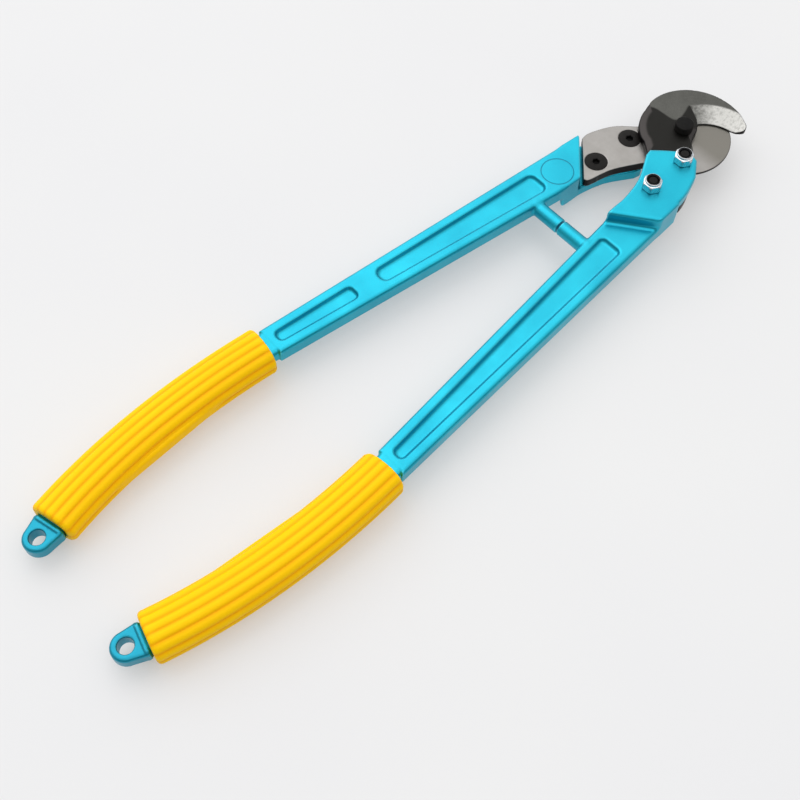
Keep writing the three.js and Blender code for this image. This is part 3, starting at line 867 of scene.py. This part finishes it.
# ---- blades ------------------------------------------------------------------------------------
BLADE_LOW = (-88, -39, BLADE_BOTTOM)
BLADE_CELL = (0.55, 0.55, 0.5)
ROUND_CHAMFER = [(-140, 0), (-122, 4.0), (-14, 4.0), (-6, 0)]
HOOK_CHAMFER = [(-180, 0), (-172, 4.6), (-100, 4.6), (-88, 0), (30, 0), (40, 3.4), (108, 3.4), (118, 0)]
DARK_ZONE = [(-40, 12), (-36, -24), (-8, -31), (-0.6, -29.2), (1.2, -12), (6, -9), (14, -10.5), (21.7, -12.2),
             (18, 0), (8, 8), (-5, 14), (-20, 20)]


def round_zone(points):
    """The round blade's face is darker from the pivot forwards."""
    return np.clip((points[:, 0] + 12) / 16, 0, 1)


def hook_zone(points):
    """The hook's flat face is darker round the pivot, in front of the tongue."""
    edge = smooth(DARK_ZONE + DARK_ZONE[:1], 4)[:-1]
    return np.clip(0.5 - outline_distance(points[:, 0], points[:, 1], edge) / 1.2, 0, 1)


def blade(name, field_and_masks, high, zone, side, node, material):
    field, masks = field_and_masks
    points, quads = surface(field, BLADE_LOW, (*high, BLADE_TOP), BLADE_CELL)
    piece(name, points, quads, side, node, material, {**masks(points), "zone": zone(points)})


round_blade = blade_field(blade_outline(ROUND_TANG, round_jaw()), ANVIL, -141.6, ROUND_CHAMFER, 5.0)
hook_blade = blade_field(blade_outline(HOOK_TANG, hook_jaw()), MOUTH, -61.4, HOOK_CHAMFER, 1.5)
blade("round_jaw_blade", round_blade, (39, 49), round_zone, "left", "blade_round", JAW_STEEL)
blade("hook_blade_forging", hook_blade, (50, 49), hook_zone, "right", "blade_hook", HOOK_STEEL)


# ---- fasteners ---------------------------------------------------------------------------------
CREASE_DEGREES = 35


def turned_piece(name, stations, side, node, material, at=(0, 0), closed=True):
    """A turned piece on an axis at this place, with its machined edges kept crisp."""
    points, faces = turned(stations, closed)
    made = piece(name, points + np.array([*at, 0]), faces, side, node, material)
    made.data.set_sharp_from_angle(angle=math.radians(CREASE_DEGREES))


insert_bore = SCREW_RADIUS + CLEARANCE / 2
for side in PLACE:
    for place, at in zip(("front", "rear"), SCREWS):
        tag = f"{side}_{place}"
        turned_piece(f"countersunk_screw_{tag}", screw_stations(), side, f"blade_screw_{tag}", OXIDE,
                     at, closed=False)
        turned_piece(f"hex_lock_nut_{tag}", nut_stations(NUT_TOP, SCREW_RADIUS + CLEARANCE), side,
                     f"lock_nut_{tag}", ZINC, at)
        turned_piece(f"locking_ring_{tag}", insert_stations(NUT_BOTTOM, insert_bore), side,
                     f"nut_insert_{tag}", NYLON, at)

bore = PIVOT_SHANK + CLEARANCE
washer_top = BLADE_BOTTOM - CLEARANCE
washer_bottom = washer_top - WASHER_THICKNESS
pivot_nut_top = washer_bottom - CLEARANCE
pivot_nut_bottom = pivot_nut_top - NUT_HEIGHT
head_bottom = CLEARANCE - BLADE_BOTTOM
turned_piece("pivot_bolt_turned", pivot_bolt_stations(pivot_nut_bottom - 0.4, head_bottom), "left",
             "pivot_bolt", OXIDE, closed=False)
turned_piece("pivot_bush_turned", ring_stations(bore, bore + BUSH_WALL, BLADE_BOTTOM, -BLADE_BOTTOM, 0.3),
             "left", "pivot_bush", BRONZE)
turned_piece("pivot_washer_turned", ring_stations(bore, WASHER_RADIUS, washer_bottom, washer_top, 0.3),
             "left", "pivot_washer", ZINC)
turned_piece("pivot_nut_turned", nut_stations(pivot_nut_top, bore), "left", "pivot_nut", OXIDE)
turned_piece("pivot_nut_locking_ring", insert_stations(pivot_nut_bottom, bore), "left",
             "pivot_nut_insert", NYLON)


# ---- floor, light and camera -------------------------------------------------------------------
def pale_floor():
    """The tool rests on its rear lock nut and the tails of its grips, so the floor leans to meet them."""
    s = Shader("pale_floor")
    colour = s.mix(s.ramp(s.noise(3, 2), 0.3, 0.7), linear(173, 173, 175), linear(177, 177, 177))
    s.finish(Base_Color=colour, Roughness=0.7, Normal=s.bump(s.noise(900, 2), 0.00005, 0.3),
             Emission_Color=(1.0, 1.0, 1.0, 1.0), Emission_Strength=0.34)
    half = 3.0
    nut_x, nut_level = SCREWS[1][0] * MM, NUT_BOTTOM * MM
    tail = (EYE[0] + COLLAR_DISTANCE + COLLAR_LENGTH) * MM
    lean = (-GRIP_HALF[1] * MM - nut_level) / (nut_x - tail)
    corners = []
    for x, y in ((-half, -half), (half, -half), (half, half), (-half, half)):
        corners.append(tuple(PIVOT + Vector((x, y, nut_level + (nut_x - x) * lean))))
    mesh = bpy.data.meshes.new("floor")
    mesh.from_pydata(corners, [], [(0, 1, 2, 3)])
    mesh.materials.append(s.material)
    floor = add_object("floor", mesh)


def softbox(name, direction, distance, size, power):
    """A white area light in this direction from the middle of the tool, aimed back at it."""
    lamp = bpy.data.lights.new(name, "AREA")
    lamp.shape = "RECTANGLE"
    lamp.size, lamp.size_y = size
    lamp.energy = power
    made = add_object(name, lamp)
    aim = Vector(direction).normalized()
    middle = PIVOT + Vector((-0.25, 0, 0))
    made.location = middle + aim * distance
    made.rotation_euler = aim.to_track_quat("Z", "Y").to_euler()


def studio():
    """A white room, brightest above and beyond the tool, with two softboxes over it."""
    bpy.context.scene.view_settings.view_transform = "Standard"
    world = bpy.data.worlds.new("studio")
    bpy.context.scene.world = world
    world.use_nodes = True
    nodes, links = world.node_tree.nodes, world.node_tree.links
    where = nodes.new("ShaderNodeTexCoord")
    facing = nodes.new("ShaderNodeVectorMath")
    facing.operation = "DOT_PRODUCT"
    facing.inputs[1].default_value = Vector((0.3, 0.5, 0.8)).normalized()
    links.new(where.outputs["Generated"], facing.inputs[0])
    # The strength grows from 0.25 to 1.15 as a direction turns towards the brightest one.
    level = nodes.new("ShaderNodeMapRange")
    for socket, value in enumerate((-0.2, 0.9, 0.25, 1.15), 1):
        level.inputs[socket].default_value = value
    links.new(facing.outputs["Value"], level.inputs[0])
    links.new(level.outputs[0], nodes["Background"].inputs["Strength"])
    nodes["Background"].inputs["Color"].default_value = (1.0, 1.0, 1.0, 1.0)
    softbox("key_softbox", (0.1, 0.9, 1.2), 3.4, (4.2, 3.4), 42)
    softbox("top_softbox", (0.0, -0.4, 1.0), 3.0, (2.8, 2.8), 16)


def photo_camera():
    """The reference view, in millimetres from the pivot at the blades' sliding plane."""
    position = Vector((-582.79, -311.34, 686.24)) * MM
    right = Vector((0.74066842, -0.67177232, 0.01150014))
    down = Vector((-0.58041171, -0.64837226, -0.49268211))
    forward = Vector((0.33842658, 0.35823926, -0.87013337))
    lens = bpy.data.cameras.new("reference_view")
    lens.sensor_width = 36.0
    lens.lens = 53.437
    made = add_object("reference_view", lens)
    axes = Matrix((right, -down, -forward)).transposed()
    made.matrix_world = Matrix.Translation(PIVOT + position) @ axes.to_4x4()
    bpy.context.scene.camera = made

pale_floor()
studio()
photo_camera()

bpy.context.view_layer.update()
